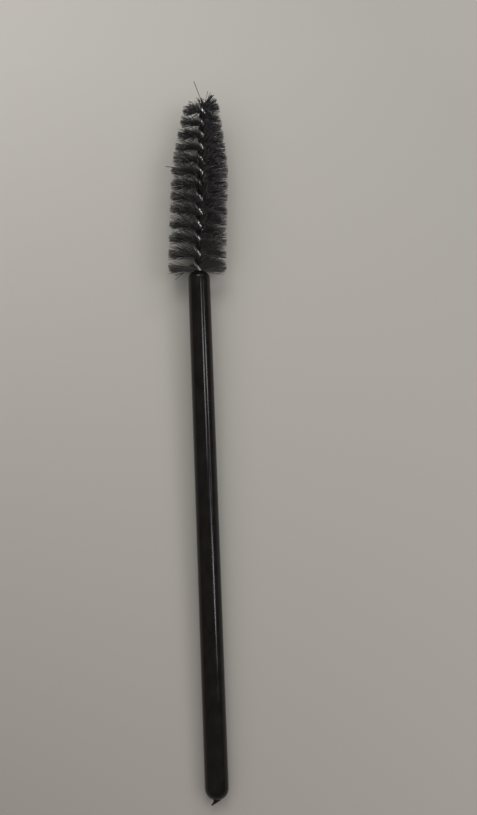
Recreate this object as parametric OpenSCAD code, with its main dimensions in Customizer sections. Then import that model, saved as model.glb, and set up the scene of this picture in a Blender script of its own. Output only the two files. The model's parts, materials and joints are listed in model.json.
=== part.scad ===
// Disposable eyebrow brush: one moulded handle, and a brush head of bristles gripped by a twisted wire.
// It is drawn along +Y with the mouth of the nose at y = 0, then tilted to lie on z = 0 as it comes to rest,
// on its tail and on the lowest bristle tips. A station is a distance along the wire, ahead of the mouth.

/* [Handle] */
// Length of the handle, from the front of the nose to the end of the tail
handle_len = 73.6; // [60:0.1:110]
// Diameter of the shank
shank_d = 3.2; // [2.8:0.05:5]
// Length of the nose, which closes round the wire
nose_len = 1.05; // [0.8:0.05:3]
// Width of the ring of plastic round the wire at the front of the nose
nose_lip = 0.3; // [0.1:0.01:0.5]
// Power of the nose's curve, where 1 is a plain cone
nose_curve = 2; // [1:0.1:3]

/* [Gate stub on the tail] */
// How far the torn stub of the moulding gate stands past the tail
gate_len = 0.6; // [0.3:0.05:1.5]
// Width of the stub where it leaves the tail
gate_w = 1; // [0.5:0.05:1.2]
// Thickness of the stub
gate_t = 0.4; // [0.2:0.05:0.8]
// How far the stub's point is torn over to the left
gate_lean = 0.3; // [0:0.05:0.6]

/* [Wire] */
// Diameter of the wire, which is folded once and twisted
wire_d = 0.55; // [0.45:0.01:0.6]
// Length of the head, from the mouth to the wire's folded tip
head_len = 27; // [20:0.1:40]
// Length of twisted wire that is held inside the handle
wire_seat = 9; // [5:0.1:20]
// Room round the twisted wire in its bore
seat_gap = 0.02; // [0.01:0.005:0.05]
// Length over which the twist runs out before the fold
ease_len = 0.5; // [0.4:0.05:1]
// Share by which the twist tightens from the middle of the head to its tip
twist_gain = 0.12; // [0:0.01:0.2]
// Angle by which the head leans to the right of the handle
head_bend = 3.4; // [0.5:0.1:8]
// Length of wire over which the head bends
bend_len = 3; // [2:0.1:6]

/* [Bristles] */
// Thickness of a bristle
bristle_d = 0.1; // [0.08:0.005:0.12]
// Gap between one bristle and the next along the wire
bristle_gap = 0.015; // [0.01:0.005:0.1]
// Room between a bristle and the two strands that grip it
nip_gap = 0.005; // [0.003:0.001:0.01]
// Distance from the mouth to the first bristle
first_gap = 0.15; // [0.1:0.01:0.5]
// Diameter of the trimmed head, over its parallel length
head_d = 8.4; // [6:0.1:12]
// Length over which the head keeps its full diameter
parallel_len = 15.3; // [8:0.1:18]
// Diameter of the trimmed head at its tip
tip_d = 5; // [3:0.1:6]
// How far the trim's centre lies to the left of the wire
trim_shift = 0.2; // [0:0.05:0.4]
// Depth of the flat that the brush's weight presses into the lowest tips
rest_flat = 0.15; // [0.05:0.01:0.25]
// Length of head at the tip over which the bristles fan forwards
tip_fan_len = 1.6; // [1:0.1:3]
// Angle by which the last bristle leans forwards on its right
tip_fan_right = 34; // [0:1:40]
// Angle by which the last bristle leans forwards on its left
tip_fan_left = 7; // [0:1:40]
// Length of head at the nose over which the bristles fan back
base_fan_len = 1.4; // [1:0.1:1.4]
// Angle by which the first bristle at the nose leans back
base_fan = 8; // [0:1:12]

/* [Stray bristles] */
// Length of a stray's bend, which starts where it leaves the wire
stray_curve = 0.8; // [0.6:0.1:1.5]
// Angle by which the stray at the tip is bent forwards
tip_stray_bend = 70; // [50:1:75]
// Angle by which it leans aside, to the left
tip_stray_aside = 20; // [0:1:30]
// Length of that stray past its bend
tip_stray_len = 2.6; // [1:0.1:5]
// Angle by which the strays at the nose are bent back
base_stray_bend = 36; // [20:1:40]
// Length of those strays past their bends
base_stray_len = 1.4; // [0.5:0.1:1.5]

/* [Hidden] */
// Rows of bristles that point sideways, which is one for each half turn of the wire
rows = 13;
// Turn of the first bristle before the first row's middle, and of the last one past the last row's
first_turn = 22;
last_turn = 100;
// Number of the second stray at the nose, counted along the wire from the first
next_stray_number = 3;
// Facets of the handle's round faces, of the wire's section and of a bristle's
round_fn = 96;
wire_sides = 7;
bristle_sides = 5;
// Rings along one turn of the wire, round its fold, and along a stray's bend
rings_per_turn = 12;
fold_rings = 8;
bend_rings = 6;
// Steps along the nose's curve and the torn edge of the stub
nose_steps = 10;
tear_steps = 6;
// Step along the wire that gives its direction at a point
nudge = 0.01;
// Room past the end of the wire in its bore, and how far one solid is sunk where two are joined
bore_relief = 0.5;
sink = 0.6;

// Two bristles lie side by side at each station, with a strand of the wire on each side of them
pair_r = (bristle_d + nip_gap) / 2;
strand_r = pair_r + bristle_d / 2 + nip_gap + wire_d / 2;
core_r = strand_r + wire_d / 2;
bore_r = core_r + seat_gap;
shank_r = shank_d / 2;
fold_station = head_len - core_r;
bend_r = bend_len / (head_bend * PI / 180);

// Stations of the bristles, which fill the wire's grip up to the eye of its fold
step = bristle_d + bristle_gap;
first_station = first_gap + bristle_d / 2;
count = floor((fold_station - first_station) / step) + 1;
last_station = first_station + (count - 1) * step;
function station(k) = first_station + k * step;

// Turn of the twist, in degrees from the first row's middle, at a station
full_turn = first_turn + 180 * (rows - 1) + last_turn;
twist_len = last_station - first_station - ease_len;
mean_rate = full_turn / (twist_len + (1 + twist_gain) * ease_len / 2);
base_rate = mean_rate * (1 - twist_gain);
tip_rate = mean_rate * (1 + twist_gain);
function turn_along(u) = base_rate * u + (tip_rate - base_rate) * u * u / (2 * twist_len);
function turn_eased(v) = tip_rate * (v - v * v / (2 * ease_len));
function turn(s) =
    let (u = s - first_station)
    u < 0 ? base_rate * u - first_turn
    : u < twist_len ? turn_along(u) - first_turn
    : turn_along(twist_len) - first_turn + turn_eased(min(u - twist_len, ease_len));

// The wire's centre line, and the directions across and along it
function lean(s) = head_bend * min(max(s / bend_len, 0), 1);
function centre(s) =
    let (past = max(s - bend_len, 0))
    s < 0 ? [0, s, 0]
    : [bend_r * (1 - cos(lean(s))) + past * sin(lean(s)), bend_r * sin(lean(s)) + past * cos(lean(s)), 0];
function along(s) = [sin(lean(s)), cos(lean(s)), 0];
function across(s, a) = [cos(a) * cos(lean(s)), -cos(a) * sin(lean(s)), sin(a)];

// The head at rest: its tilt, and the height of its centre line above the surface that it lies on
contact_station = first_station + (first_turn + 90) / base_rate;
contact_reach = contact_station + handle_len - shank_r;
contact_r = head_d / 2 - rest_flat;
rest_tilt = acos(shank_r / norm([contact_r, contact_reach])) - atan2(contact_reach, contact_r);
function height(s) = shank_r + (s + handle_len - shank_r) * sin(rest_tilt);

// Length of a bristle's arm from the wire's centre line to the trim, or to the surface below
taper_len = last_station - parallel_len;
function trim_r(s) = head_d / 2 - (head_d - tip_d) / 2 * max(s - parallel_len, 0) / taper_len;
function arm(s, a) =
    let (trimmed = trim_r(s) - trim_shift * cos(a))
    sin(a) < 0 ? min(trimmed, height(s) / (-sin(a) * cos(rest_tilt))) : trimmed;

// How far an arm leans forwards, in the fans at the two ends of the head
function fan(s, a) =
    let (ahead = max(s - last_station + tip_fan_len, 0) / tip_fan_len)
    let (back = max(first_station + base_fan_len - s, 0) / base_fan_len)
    let (most = (tip_fan_right + tip_fan_left) / 2 + (tip_fan_right - tip_fan_left) / 2 * cos(a))
    most * ahead - base_fan * back;

// Strays, as [station number, side of the pair, turn to the bent arm, angle forwards, angle aside, length past the
// bend], which replace one of a pair
strays = [
    [0, 1, 180, -base_stray_bend, 0, base_stray_len],
    [next_stray_number, 1, 180, -base_stray_bend, 0, base_stray_len],
    [count - 1, 1, 0, tip_stray_bend, tip_stray_aside, tip_stray_len],
];
function is_stray(k, side) = len([for (t = strays) if (t[0] == k && t[1] == side) t]) > 0;

// A closed tube through rings of points that all have the same number of sides
module tube(rings) {
    sides = len(rings[0]);
    last = len(rings) - 1;
    corners = [for (ring = rings) each ring];
    walls = [
        for (i = [0 : last - 1]) for (j = [0 : sides - 1])
            let (a = i * sides + j, b = i * sides + (j + 1) % sides)
            each [[a, b, b + sides], [a, b + sides, a + sides]]
    ];
    ends = [[for (j = [sides - 1 : -1 : 0]) j], [for (j = [0 : sides - 1]) last * sides + j]];
    polyhedron(corners, concat(walls, ends));
}

// One ring about a point, square to the way ahead, with its first corner towards the way out
function ring(point, ahead, out, r, sides) =
    let (beside = cross(out, ahead))
    [for (j = [0 : sides - 1]) let (a = 360 * j / sides) point + r * (cos(a) * out + sin(a) * beside)];

// Lies the brush down, with the middle of its length over the origin
module at_rest() {
    stray = strays[len(strays) - 1];
    reach = centre(station(stray[0]))[1] + stray_end(stray)[1] * cos(stray[4]);
    middle = (reach - handle_len - gate_len) / 2;
    translate([0, -middle * cos(rest_tilt), height(0)]) rotate([rest_tilt, 0, 0]) children();
}

// Outline of the nose, as radius and height above the shoulder
function nose_outline() = concat(
    [[0, 0]],
    [for (i = [0 : nose_steps]) let (t = i / nose_steps)
        [bore_r + nose_lip + (shank_r - bore_r - nose_lip) * (1 - pow(t, nose_curve)), nose_len * t]],
    [[0, nose_len]]
);

// Torn gate stub, flat, with a steep left edge and a right edge that sweeps down to the point
module gate_stub() {
    left = -gate_w / 2;
    right = gate_w / 2;
    point = [left - gate_lean, -gate_len];
    tear = [for (i = [0 : tear_steps]) let (t = i / tear_steps)
        [point[0] + (right - point[0]) * t, point[1] * pow(1 - t, 2)]];
    translate([0, -handle_len, -gate_t / 2])
        linear_extrude(gate_t)
            polygon(concat([[left, sink], [left, 0]], tear, [[right, sink]]));
}

module handle() {
    color("#17181b") at_rest() difference() {
        union() {
            rotate([-90, 0, 0]) translate([0, 0, -handle_len]) {
                translate([0, 0, shank_r]) {
                    sphere(r = shank_r, $fn = round_fn);
                    cylinder(r = shank_r, h = handle_len - shank_r - nose_len, $fn = round_fn);
                }
                translate([0, 0, handle_len - nose_len])
                    rotate_extrude($fn = round_fn) polygon(nose_outline());
            }
            gate_stub();
        }
        rotate([-90, 0, 0]) translate([0, 0, -wire_seat - bore_relief])
            cylinder(r = bore_r, h = wire_seat + bore_relief + sink, $fn = round_fn);
    }
}

// A point of one strand, which lies square to the bristle at the same station
function strand_point(s, side) = centre(s) + strand_r * across(s, turn(s) + side * 90);
function strand_ring(s, side, way) =
    let (ahead = way * (strand_point(s + nudge, side) - strand_point(s - nudge, side)))
    ring(strand_point(s, side), ahead / norm(ahead), across(s, turn(s) + side * 90), wire_d / 2, wire_sides);
// The fold over the top, from the left strand to the right one
function fold_ring(a) =
    let (s = fold_station, out = across(s, turn(s) + 90), up = along(s))
    let (away = cos(a) * out + sin(a) * up)
    ring(centre(s) + strand_r * away, cos(a) * up - sin(a) * out, away, wire_d / 2, wire_sides);

module core_wire() {
    leg_rings = ceil((turn(fold_station) - turn(-wire_seat)) / 360 * rings_per_turn);
    leg = [for (i = [0 : leg_rings]) -wire_seat + (fold_station + wire_seat) * i / leg_rings];
    color("#6f7176") at_rest() tube(concat(
        [for (i = [0 : leg_rings]) strand_ring(leg[i], 1, 1)],
        [for (i = [1 : fold_rings - 1]) fold_ring(180 * i / fold_rings)],
        [for (i = [leg_rings : -1 : 0]) strand_ring(leg[i], -1, -1)]
    ));
}

// The middle of one bristle of a pair
function root(s, side) = centre(s) + side * pair_r * across(s, turn(s) + 90);

// A bristle along a path of [distance out, distance forwards, angle forwards], in the plane of its direction a,
// which leans aside by another angle
module bent_bristle(s, side, a, path, aside = 0) {
    out = across(s, a);
    up = cos(aside) * along(s) + sin(aside) * across(s, a + 90);
    tube([for (p = path)
        ring(root(s, side) + p[0] * out + p[1] * up, cos(p[2]) * out + sin(p[2]) * up,
            cos(p[2]) * up - sin(p[2]) * out, bristle_d / 2, bristle_sides)]);
}

// The path of an arm that leans from where it leaves the strands, behind the wire as seen along a
function leaning_arm(s, a) =
    let (angle = fan(s, a + 180), length = arm(s, a + 180) - core_r)
    [[-core_r - length * cos(angle), length * sin(angle), -angle], [-core_r, 0, -angle / 2]];
// The same path seen from the other side, to end a bristle with
function turned_back(path) = [for (i = [len(path) - 1 : -1 : 0]) let (p = path[i]) [-p[0], p[1], -p[2]]];

// A bristle that leans on both sides of the wire
module fanned_bristle(s, side, a) {
    bent_bristle(s, side, a, concat(leaning_arm(s, a), turned_back(leaning_arm(s, a + 180))));
}

// A straight bristle, right through the wire
module straight_bristle(s, side, a) {
    translate(root(s, side)) rotate([0, 0, -lean(s)]) rotate([0, 90 - a, 0])
        translate([0, 0, -arm(s, a + 180)])
            cylinder(d = bristle_d, h = arm(s, a) + arm(s, a + 180), $fn = bristle_sides);
}

module bristle(k, side) {
    s = station(k);
    a = turn(s);
    if (fan(s, a) == 0) straight_bristle(s, side, a);
    else fanned_bristle(s, side, a);
}

// The row that a station belongs to, where the last one takes all that is left up to the fold
function row_of(k) = min(round(turn(station(k)) / 180) + 1, rows);

module bristle_row(i) {
    color("#101113") at_rest()
        for (k = [0 : count - 1], side = [-1, 1])
            if (row_of(k) == i && !is_stray(k, side)) bristle(k, side);
}

// A point of a stray's bend, a length l along it, which starts straight out or with the fan that leans forwards
function bend_point(t, l) =
    let (s = station(t[0]), start = max(fan(s, turn(s) + t[2]), 0), end = t[3])
    let (r = stray_curve / ((end - start) * PI / 180), angle = start + (end - start) * l / stray_curve)
    [core_r + r * (sin(angle) - sin(start)), r * (cos(start) - cos(angle)), angle];
function stray_end(t) =
    let (p = bend_point(t, stray_curve))
    [p[0] + t[5] * cos(p[2]), p[1] + t[5] * sin(p[2]), p[2]];

// A bristle that is like the others on one side of the wire and bent forwards or back on the other
module stray(t) {
    s = station(t[0]);
    a = turn(s) + t[2];
    bend = [for (i = [0 : bend_rings]) bend_point(t, stray_curve * i / bend_rings)];
    bent_bristle(s, t[1], a, concat(leaning_arm(s, a), bend, [stray_end(t)]), t[4]);
}

module stray_bristles() {
    color("#101113") at_rest() for (t = strays) stray(t);
}

function row_name(i) = str("bristle_row_", i < 10 ? "0" : "", i);

handle();
core_wire();
stray_bristles();
for (i = [1 : rows]) bristle_row(i);
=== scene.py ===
"""Dresses the eyebrow brush: a moulded handle, a twisted wire and a head of fine nylon bristles.

Sizes are in millimetres until an object is made. A station is a distance along the wire, ahead of the
handle's mouth. A turn is the angle of a bristle about the wire, in degrees from the right. The wire's own
frame is drawn along +Y from the mouth, and the record's mount on the shank says where that frame lies."""
import json
import math

import bpy
import numpy as np
from mathutils import Matrix, Vector


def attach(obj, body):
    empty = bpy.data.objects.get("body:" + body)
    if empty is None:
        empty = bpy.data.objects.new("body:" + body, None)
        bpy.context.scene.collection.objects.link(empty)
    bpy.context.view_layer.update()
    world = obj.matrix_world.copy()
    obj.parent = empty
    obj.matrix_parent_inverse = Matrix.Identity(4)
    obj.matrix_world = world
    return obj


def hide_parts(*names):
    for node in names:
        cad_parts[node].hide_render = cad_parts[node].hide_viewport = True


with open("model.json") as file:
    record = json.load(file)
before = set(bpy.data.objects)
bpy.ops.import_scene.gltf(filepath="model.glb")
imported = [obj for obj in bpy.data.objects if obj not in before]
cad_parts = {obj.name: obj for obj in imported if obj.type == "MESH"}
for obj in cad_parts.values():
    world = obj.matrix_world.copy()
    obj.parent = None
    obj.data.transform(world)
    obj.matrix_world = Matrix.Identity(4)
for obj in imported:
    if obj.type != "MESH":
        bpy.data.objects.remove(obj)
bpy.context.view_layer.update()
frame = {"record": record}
SEED = 20
rng = np.random.default_rng(SEED)
MM = 0.001

# Handle
HANDLE_LEN = 73.6
SHANK_R = 1.6
NOSE_LEN = 1.05
NOSE_CURVE = 2.0
MOUTH_R = 0.9775
LIP_ROUND = 0.08
BORE_R = 0.6775
BORE_LEN = 9.5
HANDLE_SIDES = 112
DOME_POINTS = 25
SHANK_POINTS = 61
NOSE_POINTS = 17
LIP_POINTS = 5

# Torn stub of the moulding gate on the tail, and its point, which lies to the left
GATE_LEN = 0.6
GATE_W = 1.0
GATE_T = 0.4
GATE_LEAN = 0.3
GATE_SINK = 0.5
GATE_POINT_INSET = 0.07
GATE_RINGS = 9
GATE_SIDES = 14
# Shares of its width and thickness that the stub loses, and the powers that its shape follows
GATE_NARROWING = 0.74
GATE_NARROWING_POWER = 0.85
GATE_THINNING = 0.6
GATE_THINNING_POWER = 1.5
GATE_LEAN_POWER = 1.15
GATE_CORNER_POWER = 0.7
# Roughness of the torn end, and how much more it tells in the thickness
GATE_ROUGHNESS = 0.025
GATE_ROUGH_THICKNESS = 4

# Wire: radius of a strand, of the strands' middles about the axis, and of the whole core
WIRE_R = 0.275
STRAND_R = 0.3825
CORE_R = STRAND_R + WIRE_R
HEAD_LEN = 27.0
WIRE_SEAT = 9.0
EASE_LEN = 0.5
TWIST_GAIN = 0.12
HEAD_BEND = math.radians(3.4)
BEND_LEN = 3.0
WIRE_SIDES = 18
WIRE_RINGS_PER_TURN = 44
FOLD_RINGS = 15

# Trimmed outline of the head, and where its bristles start and end
ROWS = 13
FIRST_STATION = 0.2
LAST_STATION = 26.305
TWIST_LEN = LAST_STATION - FIRST_STATION - EASE_LEN
FIRST_TURN = 22.0
LAST_TURN = 100.0
HEAD_R = 4.26
TIP_R = 2.6
TAPER_POWER = 1.2
PARALLEL_LEN = 15.3
TRIM_SHIFT = 0.2

# How far bristles lean ahead at the tip and beside the nose, in degrees
TIP_FAN_LEN = 1.6
TIP_FAN_RIGHT = 28.0
TIP_FAN_LEFT = 18.0
TIP_FAN_POWER = 1.5
BASE_FAN_LEN = 1.4
BASE_FAN = 6.0

# Bristles: four side by side in the grip of the two strands
BRISTLE_R = 0.04
BRISTLE_END_SHARE = 0.75
BRISTLE_PITCH = 0.05
PITCH_JITTER = 0.3
BRISTLE_LAYERS = 4
LAYER_STEP = 0.045
BRISTLE_SIDES = 5
ARM_RINGS = 9
FLOOR_GAP = 0.04

# Bundles that the arms of bristles clump into: fewest and most arms, spread of their angles in degrees,
# and the share of the way to the bundle's middle that a tip is drawn
BUNDLE_ARMS = (14, 52)
BUNDLE_FAN = 3.6
BUNDLE_TURN = 5.0
BUNDLE_PULL = (0.25, 0.7)

# Spread of single arms, in degrees for the angles. Wild arms keep out of their bundle
OWN_FAN = 3.3
OWN_TURN = 7.0
OWN_TRIM = 0.07
OWN_BOW = 0.1
WILD_SHARE = 0.25
WILD_FAN = 12.0
WILD_FAN_AHEAD = 7.0
WILD_TURN = 16.0
WILD_EXTRA = 0.08

# The arms over the fold are gathered by an angle, and some there are short and stand anyhow
GATHER_LEN = 1.0
GATHER_TURN = 66.0
SHORT_SHARE = 0.35
SHORT_TURN = 18.0
SHORT_LEN_SHARE = 0.5

# Arms beside the nose spread less, and upright arms part over the wire, so that it shows
BASE_CALM_LEN = 1.6
BASE_CALM = 0.4
PARTING = 10.0
PARTING_WIDTH = 15.0
PARTING_CALM = 0.7

# Strays: station, turn of the bent arm, bend ahead, lean aside and length past the bend
STRAYS = [
    (0.5, 175.0, -23.0, 0.0, 2.15),
    (0.9, 185.0, -37.0, 0.0, 2.6),
    (0.2, -18.0, -9.0, 0.0, 1.7),
    (LAST_STATION, 100.0, 70.0, 20.0, 2.6),
    (15.9, 176.0, 3.0, 0.0, 3.8),
]
STRAY_R = 0.055
STRAY_BEND_LEN = 0.8
STRAY_BEND_POINTS = 10
STRAY_END_POINTS = 12
STRAY_TONE = 0.5

# The wire's frame, from the mount on the shank
shank = frame["record"]["mounts"][0]
AHEAD = -np.array(shank["axis"])
RIGHT = np.array([1.0, 0.0, 0.0])
UPWARD = np.cross(RIGHT, AHEAD)
MOUTH = np.array(shank["pos_m"]) / MM + AHEAD * (shank["dims"]["length_mm"] / 2 + NOSE_LEN)
TO_PART = np.stack([RIGHT, AHEAD, UPWARD])


def in_part_frame(points):
    """Points of the wire's frame, moved to the part's frame. Both are in millimetres."""
    return MOUTH + np.asarray(points, float) @ TO_PART


def unit(vectors):
    """The same directions with a length of 1."""
    return vectors / np.linalg.norm(vectors, axis=-1, keepdims=True)


# Twist of the wire in degrees a millimetre. It tightens towards the tip and eases off before the fold
FULL_TURN = FIRST_TURN + 180 * (ROWS - 1) + LAST_TURN
MEAN_RATE = FULL_TURN / (TWIST_LEN + (1 + TWIST_GAIN) * EASE_LEN / 2)
BASE_RATE = MEAN_RATE * (1 - TWIST_GAIN)
TIP_RATE = MEAN_RATE * (1 + TWIST_GAIN)


def turn_at(s):
    """Turn of the bristles gripped at station s. The middle of row i has a turn of 180 times i."""
    past_first = np.asarray(s, float) - FIRST_STATION
    twisted = np.minimum(past_first, TWIST_LEN)
    eased = np.clip(past_first - TWIST_LEN, 0, EASE_LEN)
    twisted_turn = BASE_RATE * twisted + (TIP_RATE - BASE_RATE) * twisted * twisted / (2 * TWIST_LEN)
    eased_turn = TIP_RATE * (eased - eased * eased / (2 * EASE_LEN))
    return np.where(past_first < 0, BASE_RATE * past_first, twisted_turn + eased_turn) - FIRST_TURN


def lean_at(s):
    """Angle in radians by which the wire leans to the right of the handle's line."""
    return HEAD_BEND * np.clip(np.asarray(s, float) / BEND_LEN, 0, 1)


def centre_at(s):
    """Points of the wire's axis, which is straight in the handle, then bends, then is straight again."""
    s = np.asarray(s, float)
    lean = lean_at(s)
    past_bend = np.maximum(s - BEND_LEN, 0)
    bend_r = BEND_LEN / HEAD_BEND
    x = bend_r * (1 - np.cos(lean)) + past_bend * np.sin(lean)
    y = np.where(s < 0, s, bend_r * np.sin(lean) + past_bend * np.cos(lean))
    return np.stack([x, y, np.zeros_like(x)], -1)


def along_at(s):
    """Direction of the wire's axis."""
    lean = lean_at(s)
    return np.stack([np.sin(lean), np.cos(lean), np.zeros_like(lean)], -1)


def across_at(s, turn):
    """Direction square to the wire's axis, at this turn about it."""
    lean = lean_at(s)
    angle = np.radians(turn)
    return np.stack([np.cos(angle) * np.cos(lean), -np.cos(angle) * np.sin(lean), np.sin(angle)], -1)


def root_at(s, offset, turn):
    """Where a bristle crosses the wire's axis, moved by offset towards one of the strands."""
    return centre_at(s) + offset[:, None] * across_at(s, turn + 90)


def trim_at(s, turn):
    """Distance from the wire's axis to the trim: a cylinder, then a curved taper, shifted to the left."""
    share = np.maximum(s - PARALLEL_LEN, 0) / (LAST_STATION - PARALLEL_LEN)
    taper = (HEAD_R - TIP_R) * share ** TAPER_POWER
    return HEAD_R - taper - TRIM_SHIFT * np.cos(np.radians(turn))


def fan_at(s, turn):
    """Angle in degrees by which the arms near both ends of the head lean ahead."""
    at_tip = np.maximum(s - LAST_STATION + TIP_FAN_LEN, 0) / TIP_FAN_LEN
    at_base = np.maximum(FIRST_STATION + BASE_FAN_LEN - s, 0) / BASE_FAN_LEN
    rightness = ((1 + np.cos(np.radians(turn))) / 2) ** TIP_FAN_POWER
    return (TIP_FAN_LEFT + (TIP_FAN_RIGHT - TIP_FAN_LEFT) * rightness) * at_tip + BASE_FAN * at_base


def new_piece(name, points, faces, material, replaced, attributes=None):
    """Makes a piece of points in the part's frame, in millimetres. It stands for one CAD node."""
    mesh = bpy.data.meshes.new(name)
    mesh.from_pydata((np.asarray(points) * MM).tolist(), [], faces)
    for label, values in (attributes or {}).items():
        layer = mesh.attributes.new(label, "FLOAT", "POINT")
        layer.data.foreach_set("value", np.asarray(values, np.float32))
    mesh.shade_smooth()
    mesh.materials.append(material)
    piece = bpy.data.objects.new(name, mesh)
    bpy.context.scene.collection.objects.link(piece)
    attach(piece, "root")
    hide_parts(replaced)


def tube_faces(rings, sides, first=0):
    """Walls and flat ends of a tube whose rings of points follow each other from point number first."""
    faces = []
    for ring in range(rings - 1):
        start = first + ring * sides
        for side in range(sides):
            here, beside = start + side, start + (side + 1) % sides
            faces.append((here, beside, beside + sides, here + sides))
    faces.append(tuple(first + side for side in reversed(range(sides))))
    faces.append(tuple(first + (rings - 1) * sides + side for side in range(sides)))
    return faces


def tube_points(path, side, radius, sides):
    """Rings round paths of points. The last axes of path are the point and its coordinates."""
    ahead = unit(np.gradient(path, axis=-2))
    out = unit(side - ahead * (side * ahead).sum(-1, keepdims=True))
    up = np.cross(ahead, out)
    angle = np.arange(sides) * 2 * np.pi / sides
    ring = np.cos(angle)[:, None] * out[..., None, :] + np.sin(angle)[:, None] * up[..., None, :]
    return path[..., None, :] + np.asarray(radius)[..., None, None] * ring


# Materials. Colours are linear, and a pair holds the ends of a range. A pattern of noise is its name, its
# features a metre along X, Y and Z, and its detail. Most of the noise lies in NOISE_SPAN
NOISE_SPAN = (0.3, 0.7)

FLOW_LINES = ("flow_lines", (420, 26, 420), 2.0)
FLOW_DEPTH = 0.02
HAZE = ("haze", (900, 500, 900), 3.0)
HAZE_DEPTH = 0.0012
PLASTIC_COLOURS = ((0.0043, 0.0031, 0.0029), (0.0078, 0.0058, 0.0057))
PLASTIC_ROUGHNESS = (0.08, 0.15)
PLASTIC_IOR = 1.46
PLASTIC_SPECULAR = 0.28

DRAWN_LINES = ("drawn_lines", (5000, 5000, 5000), 3.0)
DRAWN_DEPTH = 0.004
STEEL_COLOURS = ((0.44, 0.43, 0.43), (0.65, 0.64, 0.64))
STEEL_ROUGHNESS = (0.26, 0.36)

NYLON_COLOURS = ((0.0213, 0.0182, 0.019), (0.05, 0.0446, 0.0457))
NYLON_ROUGHNESS = (0.24, 0.4)
NYLON_IOR = 1.53
NYLON_SPECULAR = 1.0
TONE_SPAN = (0, 1)

# Painted light on the paper: its colour is painted lighter ahead of the brush, and painted with shade
# towards two of its corners
PAPER_PAINTED_FALLOFF_COLOURS = ((0.275, 0.254, 0.231), (0.4, 0.384, 0.351))
PAPER_PAINTED_FALLOFF_SPAN_M = (-0.06, 0.06)
PAPER_PAINTED_SHADE = ((1.0, 1.0, 1.0), (0.8, 0.8, 0.8))
PAPER_PAINTED_SHADE_SPAN_M2 = (-0.002, 0.002)
PAPER_ROUGHNESS = 0.7
PAPER_SPECULAR = 0.15


def new_material(name):
    material = bpy.data.materials.new(name)
    material.use_nodes = True
    nodes = material.node_tree.nodes
    return material, nodes, material.node_tree.links, nodes["Principled BSDF"]


def noise_of(nodes, links, pattern):
    """Noise in the piece's own coordinates."""
    name, scale, detail = pattern
    coordinates = nodes.new("ShaderNodeTexCoord")
    mapping = nodes.new("ShaderNodeMapping")
    mapping.inputs["Scale"].default_value = scale
    noise = nodes.new("ShaderNodeTexNoise")
    noise.name = name
    noise.inputs["Scale"].default_value = 1.0
    noise.inputs["Detail"].default_value = detail
    links.new(coordinates.outputs["Object"], mapping.inputs["Vector"])
    links.new(mapping.outputs["Vector"], noise.inputs["Vector"])
    return noise.outputs["Fac"]


def ramp(nodes, links, value, ends, span=NOISE_SPAN):
    """A number or colour that runs from the first of ends to the last as value runs over span."""
    node = nodes.new("ShaderNodeMapRange")
    node.inputs["From Min"].default_value = span[0]
    node.inputs["From Max"].default_value = span[1]
    links.new(value, node.inputs["Value"])
    if not isinstance(ends[0], tuple):
        node.inputs["To Min"].default_value = ends[0]
        node.inputs["To Max"].default_value = ends[1]
        return node.outputs["Result"]
    mix = nodes.new("ShaderNodeMix")
    mix.data_type = "RGBA"
    mix.inputs["A"].default_value = (*ends[0], 1)
    mix.inputs["B"].default_value = (*ends[1], 1)
    links.new(node.outputs["Result"], mix.inputs["Factor"])
    return mix.outputs["Result"]


def bump(nodes, links, height, depth, normal=None):
    """Bump whose height is a depth in millimetres."""
    node = nodes.new("ShaderNodeBump")
    node.inputs["Strength"].default_value = 1.0
    node.inputs["Distance"].default_value = depth * MM
    links.new(height, node.inputs["Height"])
    if normal is not None:
        links.new(normal, node.inputs["Normal"])
    return node.outputs["Normal"]


def handle_plastic():
    material, nodes, links, shader = new_material("handle_plastic")
    shader.inputs["IOR"].default_value = PLASTIC_IOR
    shader.inputs["Specular IOR Level"].default_value = PLASTIC_SPECULAR
    flow = noise_of(nodes, links, FLOW_LINES)
    haze = noise_of(nodes, links, HAZE)
    links.new(ramp(nodes, links, haze, PLASTIC_COLOURS), shader.inputs["Base Color"])
    links.new(ramp(nodes, links, haze, PLASTIC_ROUGHNESS), shader.inputs["Roughness"])
    waves = bump(nodes, links, flow, FLOW_DEPTH)
    links.new(bump(nodes, links, haze, HAZE_DEPTH, waves), shader.inputs["Normal"])
    return material


def wire_steel():
    material, nodes, links, shader = new_material("wire_steel")
    shader.inputs["Metallic"].default_value = 1.0
    drawn = noise_of(nodes, links, DRAWN_LINES)
    links.new(ramp(nodes, links, drawn, STEEL_COLOURS), shader.inputs["Base Color"])
    links.new(ramp(nodes, links, drawn, STEEL_ROUGHNESS), shader.inputs["Roughness"])
    links.new(bump(nodes, links, drawn, DRAWN_DEPTH), shader.inputs["Normal"])
    return material


def bristle_nylon():
    """Nylon whose colour and roughness follow the tone that each bristle carries."""
    material, nodes, links, shader = new_material("bristle_nylon")
    shader.inputs["IOR"].default_value = NYLON_IOR
    shader.inputs["Specular IOR Level"].default_value = NYLON_SPECULAR
    attribute = nodes.new("ShaderNodeAttribute")
    attribute.attribute_name = "tone"
    tone = attribute.outputs["Fac"]
    links.new(ramp(nodes, links, tone, NYLON_COLOURS, TONE_SPAN), shader.inputs["Base Color"])
    links.new(ramp(nodes, links, tone, NYLON_ROUGHNESS, TONE_SPAN), shader.inputs["Roughness"])
    return material


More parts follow.
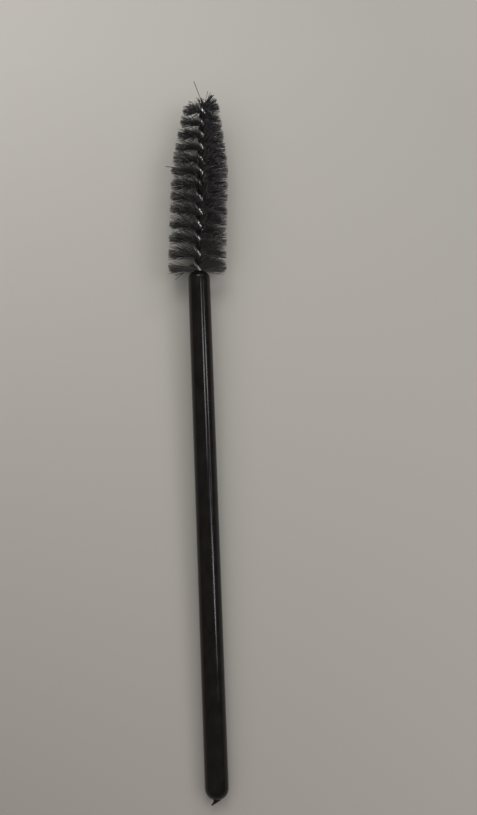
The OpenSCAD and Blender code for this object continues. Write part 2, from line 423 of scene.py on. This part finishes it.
def paper_with_painted_light():
    material, nodes, links, shader = new_material("paper")
    shader.inputs["Specular IOR Level"].default_value = PAPER_SPECULAR
    shader.inputs["Roughness"].default_value = PAPER_ROUGHNESS
    coordinates = nodes.new("ShaderNodeTexCoord")
    parts = nodes.new("ShaderNodeSeparateXYZ")
    links.new(coordinates.outputs["Object"], parts.inputs["Vector"])
    # Painted light: the paper's colour runs lighter ahead of the brush, standing in for how the light
    # falls across it
    colour = ramp(nodes, links, parts.outputs["Y"], PAPER_PAINTED_FALLOFF_COLOURS, PAPER_PAINTED_FALLOFF_SPAN_M)
    # Painted shade: the paper's colour is darkened towards the two corners where X times Y runs high
    product = nodes.new("ShaderNodeMath")
    product.operation = "MULTIPLY"
    links.new(parts.outputs["X"], product.inputs[0])
    links.new(parts.outputs["Y"], product.inputs[1])
    painted_shade = ramp(nodes, links, product.outputs["Value"], PAPER_PAINTED_SHADE, PAPER_PAINTED_SHADE_SPAN_M2)
    painted_shade_mix = nodes.new("ShaderNodeMix")
    painted_shade_mix.data_type = "RGBA"
    painted_shade_mix.blend_type = "MULTIPLY"
    painted_shade_mix.inputs["Factor"].default_value = 1.0
    links.new(colour, painted_shade_mix.inputs["A"])
    links.new(painted_shade, painted_shade_mix.inputs["B"])
    links.new(painted_shade_mix.outputs["Result"], shader.inputs["Base Color"])
    return material


# Handle


def lathe(profile, sides):
    """Points and faces of a closed turned form, from (radius, y) pairs that start and end on the axis."""
    angles = np.arange(sides) * 2 * np.pi / sides
    rings = profile[1:-1]
    points = [(0, profile[0][1], 0)]
    points += [(r * math.cos(angle), y, r * math.sin(angle)) for r, y in rings for angle in angles]
    points.append((0, profile[-1][1], 0))
    last = len(points) - 1
    faces = []
    for side in range(sides):
        beside = (side + 1) % sides
        faces.append((0, 1 + side, 1 + beside))
        for start in range(1, 1 + (len(rings) - 1) * sides, sides):
            faces.append((start + side, start + side + sides, start + beside + sides, start + beside))
        faces.append((last - sides + side, last, last - sides + beside))
    return points, faces


def handle_profile():
    """The tail's dome, the shank, the curved nose with a rounded lip, and the bore."""
    dome = [(SHANK_R * math.sin(angle), SHANK_R - HANDLE_LEN - SHANK_R * math.cos(angle))
            for angle in np.linspace(0, math.pi / 2, DOME_POINTS)]
    shank_line = [(SHANK_R, y) for y in np.linspace(SHANK_R - HANDLE_LEN, -NOSE_LEN, SHANK_POINTS)[1:-1]]
    nose = [(MOUTH_R + (SHANK_R - MOUTH_R) * (1 - t ** NOSE_CURVE), -NOSE_LEN * (1 - t))
            for t in np.linspace(0, 1, NOSE_POINTS)[:-1]]
    lip_angles = np.linspace(0, math.pi / 2, LIP_POINTS)
    lip = [(MOUTH_R - LIP_ROUND * (1 - math.cos(angle)), -LIP_ROUND * (1 - math.sin(angle)))
           for angle in lip_angles[1:]]
    inner_lip = [(BORE_R + LIP_ROUND * (1 - math.sin(angle)), -LIP_ROUND * (1 - math.cos(angle)))
                 for angle in lip_angles]
    return dome + shank_line + nose + lip + inner_lip + [(BORE_R, -BORE_LEN), (0, -BORE_LEN)]


def square_off(ratio):
    """Pushes a sine or cosine outwards, which turns a round section into one with rounded corners."""
    return math.copysign(abs(ratio) ** GATE_CORNER_POWER, ratio)


def gate_stub():
    """Flat sections that shrink towards a point on the left, with a rough end."""
    point_x = GATE_LEAN + GATE_W / 2 - GATE_POINT_INSET
    points = []
    for t in np.linspace(-GATE_SINK / GATE_LEN, 1, GATE_RINGS):
        torn = max(t, 0)
        width = GATE_W * (1 - GATE_NARROWING * torn ** GATE_NARROWING_POWER)
        thickness = GATE_T * (1 - GATE_THINNING * torn ** GATE_THINNING_POWER)
        middle = -point_x * torn ** GATE_LEAN_POWER
        for angle in np.arange(GATE_SIDES) * 2 * np.pi / GATE_SIDES:
            x = middle + width / 2 * square_off(math.cos(angle))
            y = -HANDLE_LEN - GATE_LEN * t
            z = thickness / 2 * square_off(math.sin(angle))
            rough = GATE_ROUGHNESS * torn * rng.normal()
            points.append((x + rough, y + rough, z * (1 + GATE_ROUGH_THICKNESS * rough)))
    return points, tube_faces(GATE_RINGS, GATE_SIDES)


def make_handle(material):
    points, faces = lathe(handle_profile(), HANDLE_SIDES)
    stub_points, stub_faces = gate_stub()
    faces += [tuple(len(points) + corner for corner in face) for face in stub_faces]
    new_piece("handle_moulded", in_part_frame(points + stub_points), faces, material,
              "handle")


# Wire


def make_wire(material):
    """One strand: down one leg of the twist, round the fold at the tip, and back along the other leg."""
    fold = HEAD_LEN - CORE_R
    rings = int(WIRE_RINGS_PER_TURN * (turn_at(fold) - turn_at(-WIRE_SEAT)) / 360)
    leg = np.linspace(-WIRE_SEAT, fold, rings)
    leg_out = across_at(leg, turn_at(leg) + 90)
    bow = np.linspace(0, np.pi, FOLD_RINGS + 2)[1:-1, None]
    bow_out = np.cos(bow) * leg_out[-1] + np.sin(bow) * along_at(fold)
    out = np.concatenate([leg_out, bow_out, -leg_out[::-1]])
    bow_centre = np.repeat(centre_at(fold)[None], FOLD_RINGS, 0)
    centre = np.concatenate([centre_at(leg), bow_centre, centre_at(leg)[::-1]])
    path = centre + STRAND_R * out
    points = tube_points(path, out, np.full(len(path), WIRE_R), WIRE_SIDES)
    new_piece("wire_twisted", in_part_frame(points.reshape(-1, 3)), tube_faces(len(path), WIRE_SIDES),
              material, "core_wire")


# Bristles


def run_numbers(arms, fewest, most):
    """Splits arms in a line into runs of random length, and gives each arm the number of its run."""
    number, found = 0, []
    while len(found) < arms:
        found += [number] * int(rng.integers(fewest, most + 1))
        number += 1
    return np.array(found[:arms])


def bundled(s):
    """Fan and turn that arms share with their bundle, and how far their tips are drawn to its middle."""
    bundle = run_numbers(len(s), *BUNDLE_ARMS)
    bundles = bundle[-1] + 1
    fan = rng.normal(0, BUNDLE_FAN, bundles)[bundle]
    turn = rng.normal(0, BUNDLE_TURN, bundles)[bundle]
    pull = rng.uniform(*BUNDLE_PULL, bundles)[bundle]
    middle = (np.bincount(bundle, s) / np.bincount(bundle))[bundle]
    return fan, turn, pull * (middle - s)


def smooth(t):
    """Eases from 0 to 1."""
    return t * t * (3 - 2 * t)


def vectors_of(amounts, directions):
    """Vectors with these amounts along these directions."""
    return amounts[..., None] * directions


def arm_paths(s, offset, turn, base_turn):
    """Paths of arms from where they leave the wire to the trim, as points of the wire's frame."""
    arms = len(s)
    bundle_fan, bundle_turn, drawn = bundled(s)
    wild = rng.random(arms) < WILD_SHARE
    own_fan = rng.normal(np.where(wild, WILD_FAN_AHEAD, 0.0), np.where(wild, WILD_FAN, OWN_FAN))
    own_turn = rng.normal(0, np.where(wild, WILD_TURN, OWN_TURN))
    drawn = np.where(wild, 0, drawn)

    gathered = GATHER_TURN * np.clip((s - LAST_STATION + GATHER_LEN) / GATHER_LEN, 0, 1)
    short = (gathered > 0) & (rng.random(arms) < SHORT_SHARE)
    gathered = np.where(short, rng.normal(0, SHORT_TURN, arms), gathered)

    calm = np.clip((s - FIRST_STATION) / BASE_CALM_LEN, BASE_CALM, 1)
    fan = np.radians(fan_at(s, turn - gathered) + calm * (bundle_fan + own_fan))[:, None]
    past_upright = np.mod(turn, 360) - 90
    parted = np.exp(-(past_upright / PARTING_WIDTH) ** 2)
    spread = (1 - PARTING_CALM * parted) * (bundle_turn + own_turn)
    aimed = turn - gathered + spread + PARTING * parted * np.sign(past_upright)

    trimmed = trim_at(s, aimed) - np.abs(rng.normal(0, OWN_TRIM, arms))
    length = trimmed + np.where(wild, WILD_EXTRA, 0) - CORE_R
    length = np.where(short, SHORT_LEN_SHARE * length, length)[:, None]

    t = np.linspace(0, 1, ARM_RINGS)
    out = across_at(s, aimed)[:, None]
    ahead = along_at(s)[:, None]
    reach = length * t
    path = (root_at(s, offset, base_turn)[:, None]
            + vectors_of(CORE_R + reach * np.cos(fan), out)
            + vectors_of(reach * np.sin(fan), ahead))
    path += vectors_of(smooth(t) * drawn[:, None], ahead)
    bow_aside, bow_ahead = rng.normal(0, OWN_BOW, (2, arms))[..., None]
    path += vectors_of(t ** 2 * bow_aside, np.cross(out, ahead)) + vectors_of(t ** 2 * bow_ahead, ahead)
    return path


def on_floor(points):
    """Bends what would sink below the surface so that it lies along it."""
    points[..., 2] = np.maximum(points[..., 2], FLOOR_GAP)
    return points


def bristle_points(s, offset, turn):
    """Rings of points of whole bristles, which pass through the wire with an arm on each side."""
    right = arm_paths(s, offset, turn, turn)
    left = arm_paths(s, offset, turn + 180, turn)
    grip = root_at(s, offset, turn)[:, None]
    path = on_floor(in_part_frame(np.concatenate([left[:, ::-1], grip, right], 1)))
    side = unit(np.cross(across_at(s, turn), along_at(s)) @ TO_PART)[:, None]
    radius = np.full(path.shape[:2], BRISTLE_R)
    radius[:, [0, -1]] *= BRISTLE_END_SHARE
    return tube_points(path, np.broadcast_to(side, path.shape), radius, BRISTLE_SIDES)


def make_bristles(material):
    """All bristles, shared out among one piece for each row of the CAD model."""
    places = np.arange(FIRST_STATION, LAST_STATION, BRISTLE_PITCH)
    s = np.repeat(places, BRISTLE_LAYERS)
    s = s + rng.uniform(-PITCH_JITTER, PITCH_JITTER, len(s)) * BRISTLE_PITCH
    layer = np.tile(np.arange(BRISTLE_LAYERS) - (BRISTLE_LAYERS - 1) / 2, len(places))
    turn = turn_at(s)
    rings = bristle_points(s, layer * LAYER_STEP, turn)
    tone = rng.random(len(s))
    row = np.clip(np.round(turn / 180).astype(int), 0, ROWS - 1)
    rings_each = rings.shape[1]
    points_each = rings_each * BRISTLE_SIDES
    for i in range(ROWS):
        mine = rings[row == i]
        faces = [face for k in range(len(mine))
                 for face in tube_faces(rings_each, BRISTLE_SIDES, k * points_each)]
        new_piece(f"nylon_row_{i + 1:02d}", mine.reshape(-1, 3), faces, material,
                  f"bristle_row_{i + 1:02d}", {"tone": np.repeat(tone[row == i], points_each)})


def stray_path(s, turn, bend, aside, length):
    """Points of a filament that is straight up to its bend and past it, and the direction across it."""
    bend, aside = math.radians(bend), math.radians(aside)
    out = across_at(s, turn)
    ahead = math.cos(aside) * along_at(s) + math.sin(aside) * across_at(s, turn + 90)
    bend_r = STRAY_BEND_LEN / bend
    angle = np.linspace(0, bend, STRAY_BEND_POINTS)
    straight = [[-float(trim_at(s, turn + 180)), 0], [-CORE_R, 0], [0, 0]]
    curve = np.stack([CORE_R + bend_r * np.sin(angle), bend_r * (1 - np.cos(angle))], -1)
    past_bend = np.linspace(0, length, STRAY_END_POINTS)[1:, None]
    end = curve[-1] + past_bend * np.array([math.cos(angle[-1]), math.sin(angle[-1])])
    plan = np.concatenate([straight, curve, end])
    return centre_at(s) + plan[:, :1] * out + plan[:, 1:] * ahead, np.cross(out, ahead)


def make_strays(material):
    points, faces = [], []
    for stray in STRAYS:
        path, side = stray_path(*stray)
        path = on_floor(in_part_frame(path))
        side = np.broadcast_to(side @ TO_PART, path.shape)
        faces += tube_faces(len(path), BRISTLE_SIDES, len(points))
        rings = tube_points(path, side, np.full(len(path), STRAY_R), BRISTLE_SIDES)
        points += rings.reshape(-1, 3).tolist()
    new_piece("nylon_strays", points, faces, material, "stray_bristles",
              {"tone": np.full(len(points), STRAY_TONE)})


# Surface, light and camera
PAPER_HALF = 1500.0
ROOM_LIGHT = 0.14

# Narrow window panes, PANE_HEIGHT up, that draw the bright lines along the shank: name, ends in X and Y,
# width and radiance
PANE_HEIGHT = 300
PANES = [
    ("pane_high_start", (84, 108), (95, 91), 36, 5.0),
    ("pane_high", (95, 91), (111, 66), 36, 12.0),
    ("pane_high_end", (111, 66), (124, 46), 36, 7.0),
    ("pane_low_start", (247, 118), (294, 109), 34, 5.2),
    ("pane_low", (294, 109), (332, 101), 34, 13.0),
    ("pane_low_middle", (332, 101), (372, 93), 34, 7.5),
    ("pane_low_end", (376, 88), (430, 50), 34, 2.9),
    ("pane_middle_start", (200, 30), (246, 16), 38, 3.0),
    ("pane_middle", (250, 15), (282, 2), 38, 7.5),
    ("pane_middle_bright", (290, -1), (314, -7), 38, 25.0),
    ("pane_middle_end", (314, -7), (390, -26), 38, 3.6),
]
# Lamps that face the origin: name, place, size, radiance, and whether they show in gloss
LAMPS = [
    ("window", (200, -50, 300), (200, 150), 2.6, False),
    ("ahead", (-15, 195, 300), (190, 90), 5.5, True),
    ("ahead_right", (224, 278, 300), (120, 60), 7.0, True),
    ("overhead", (-20, 60, 500), (1300, 1300), 1.1, False),
]

CAMERA_TILT = math.radians(14.0)
CAMERA_ROLL = math.radians(2.33)
CAMERA_DISTANCE = 181.0
CAMERA_AIM = (4.95, MOUTH[1] - 20.21, 3.0)
CAMERA_NEAR = 1.0
CAMERA_FAR = 5000.0
CAMERA_FOCAL_PX = 1274.0
PHOTO_HEIGHT_PX = 815
SENSOR = 36.0


def make_floor(material):
    corners = [(-PAPER_HALF, -PAPER_HALF), (PAPER_HALF, -PAPER_HALF),
               (PAPER_HALF, PAPER_HALF), (-PAPER_HALF, PAPER_HALF)]
    mesh = bpy.data.meshes.new("paper")
    mesh.from_pydata([(x * MM, y * MM, 0) for x, y in corners], [], [(0, 1, 2, 3)])
    mesh.materials.append(material)
    floor = bpy.data.objects.new("paper", mesh)
    bpy.context.scene.collection.objects.link(floor)


def area_lamp(name, place, size, radiance, in_gloss=True, in_matte=True):
    """A soft rectangular lamp. Its place and size are in millimetres."""
    data = bpy.data.lights.new(name, "AREA")
    data.shape = "RECTANGLE"
    data.size, data.size_y = size[0] * MM, size[1] * MM
    data.energy = math.pi * radiance * data.size * data.size_y
    lamp = bpy.data.objects.new(name, data)
    bpy.context.scene.collection.objects.link(lamp)
    lamp.location = Vector(place) * MM
    lamp.visible_glossy = in_gloss
    lamp.visible_diffuse = in_matte
    return lamp


def make_pane(name, start, end, width, radiance):
    """A pane that runs from start to end and faces the origin. Only gloss shows it."""
    start, end = Vector((*start, PANE_HEIGHT)), Vector((*end, PANE_HEIGHT))
    middle, way = (start + end) / 2, (end - start).normalized()
    pane = area_lamp(name, middle, ((end - start).length, width), radiance, in_matte=False)
    across = middle.cross(way).normalized()
    pane.rotation_euler = Matrix((way, across, way.cross(across))).transposed().to_euler()


def make_light():
    world = bpy.data.worlds.new("room")
    world.use_nodes = True
    background = world.node_tree.nodes["Background"]
    background.inputs["Color"].default_value = (1.0, 1.0, 1.0, 1)
    background.inputs["Strength"].default_value = ROOM_LIGHT
    bpy.context.scene.world = world
    for pane in PANES:
        make_pane(*pane)
    for name, place, size, radiance, in_gloss in LAMPS:
        lamp = area_lamp(name, place, size, radiance, in_gloss)
        lamp.rotation_euler = Vector(place).to_track_quat("Z", "Y").to_euler()


def make_camera():
    """The photo's view: from above, tilted towards the tail and rolled."""
    data = bpy.data.cameras.new("camera")
    data.sensor_width = SENSOR
    data.lens = SENSOR * CAMERA_FOCAL_PX / PHOTO_HEIGHT_PX
    data.clip_start, data.clip_end = CAMERA_NEAR * MM, CAMERA_FAR * MM
    camera = bpy.data.objects.new("camera", data)
    bpy.context.scene.collection.objects.link(camera)
    ahead = Vector((0, math.sin(CAMERA_TILT), -math.cos(CAMERA_TILT)))
    up = Vector((0, math.cos(CAMERA_TILT), math.sin(CAMERA_TILT)))
    right = Vector((1, 0, 0))
    rolled_up = up * math.cos(CAMERA_ROLL) + right * math.sin(CAMERA_ROLL)
    rolled_right = right * math.cos(CAMERA_ROLL) - up * math.sin(CAMERA_ROLL)
    turned = Matrix((rolled_right, rolled_up, -ahead)).transposed().to_4x4()
    place = (Vector(CAMERA_AIM) - ahead * CAMERA_DISTANCE) * MM
    camera.matrix_world = Matrix.Translation(place) @ turned
    bpy.context.scene.camera = camera


make_camera()
make_light()
make_floor(paper_with_painted_light())
make_handle(handle_plastic())
make_wire(wire_steel())
nylon = bristle_nylon()
make_bristles(nylon)
make_strays(nylon)
bpy.context.scene.view_settings.view_transform = "Standard"

bpy.context.view_layer.update()
